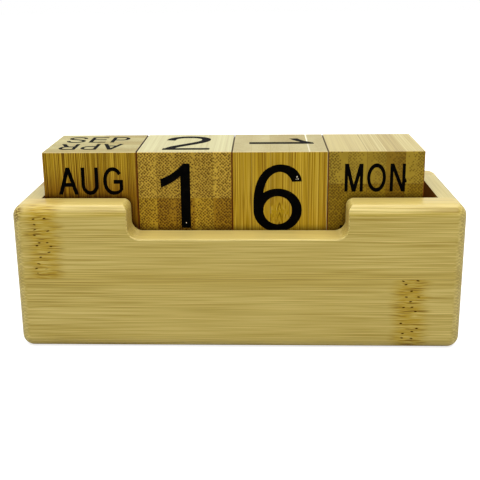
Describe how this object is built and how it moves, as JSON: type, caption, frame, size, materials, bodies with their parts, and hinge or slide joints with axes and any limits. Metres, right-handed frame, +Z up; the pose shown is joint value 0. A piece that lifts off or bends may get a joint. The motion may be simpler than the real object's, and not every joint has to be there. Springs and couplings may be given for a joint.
{
  "type": "perpetual calendar",
  "caption": "Bamboo perpetual desk calendar: an open tray with a notched front holds a row of laminated cubes that show month, date and weekday.",
  "frame": {"origin": "middle of the tray's footprint, on the table", "axes": "+X along the row of cubes toward the weekday, -Y toward the reader, +Z up"},
  "size_m": [0.15, 0.055, 0.0662],
  "materials": {
    "tray_bamboo": "pale flat-grain bamboo under a thin satin lacquer",
    "floor_bamboo": "sanded bamboo, unlacquered",
    "strip_pale": "pale bamboo strip, sanded smooth",
    "strip_gold": "golden bamboo strip, sanded smooth",
    "strip_brown": "caramel bamboo strip, sanded smooth",
    "black_ink": "screen-printed black ink, slightly glossy"
  },
  "bodies": {
    "tray": {"front_board_lower": "tray_bamboo", "front_board_upper": "tray_bamboo", "back_board_lower": "tray_bamboo", "back_board_upper": "tray_bamboo", "left_end_lower": "tray_bamboo", "left_end_upper": "tray_bamboo", "right_end_lower": "tray_bamboo", "right_end_upper": "tray_bamboo", "floor_front": "floor_bamboo", "floor_rear": "floor_bamboo"},
    "month_cube": {"month_strip_1_left": "strip_brown", "month_strip_1_right": "strip_brown", "month_strip_2_left": "strip_gold", "month_strip_2_right": "strip_gold", "month_strip_3_left": "strip_gold", "month_strip_3_right": "strip_brown", "month_strip_4_left": "strip_pale", "month_strip_4_right": "strip_gold", "month_strip_5_left": "strip_gold", "month_strip_5_right": "strip_brown"},
    "tens_cube": {"tens_strip_1_lower": "strip_pale", "tens_strip_1_upper": "strip_pale", "tens_strip_2_lower": "strip_brown", "tens_strip_2_upper": "strip_gold", "tens_strip_3_lower": "strip_brown", "tens_strip_3_upper": "strip_gold", "tens_strip_4_lower": "strip_pale", "tens_strip_4_upper": "strip_gold", "tens_strip_5_lower": "strip_brown", "tens_strip_5_upper": "strip_pale"},
    "units_cube": {"units_strip_1_front": "strip_gold", "units_strip_1_rear": "strip_gold", "units_strip_2_front": "strip_pale", "units_strip_2_rear": "strip_pale", "units_strip_3_front": "strip_gold", "units_strip_3_rear": "strip_brown", "units_strip_4_front": "strip_pale", "units_strip_4_rear": "strip_brown", "units_strip_5_front": "strip_gold", "units_strip_5_rear": "strip_gold"},
    "weekday_cube": {"weekday_strip_1_lower": "strip_gold", "weekday_strip_1_upper": "strip_pale", "weekday_strip_2_lower": "strip_gold", "weekday_strip_2_upper": "strip_pale", "weekday_strip_3_lower": "strip_gold", "weekday_strip_3_upper": "strip_gold", "weekday_strip_4_lower": "strip_brown", "weekday_strip_4_upper": "strip_brown", "weekday_strip_5_lower": "strip_gold", "weekday_strip_5_upper": "strip_pale"}
  },
  "joints": [
    {"name": "month_lift", "type": "slide", "parent": "tray", "child": "month_cube", "axis": [0, 0, 1], "range_m": [0, 0.04]},
    {"name": "tens_lift", "type": "slide", "parent": "tray", "child": "tens_cube", "axis": [0, 0, 1], "range_m": [0, 0.04]},
    {"name": "units_lift", "type": "slide", "parent": "tray", "child": "units_cube", "axis": [0, 0, 1], "range_m": [0, 0.04]},
    {"name": "weekday_lift", "type": "slide", "parent": "tray", "child": "weekday_cube", "axis": [0, 0, 1], "range_m": [0, 0.04]}
  ]
}
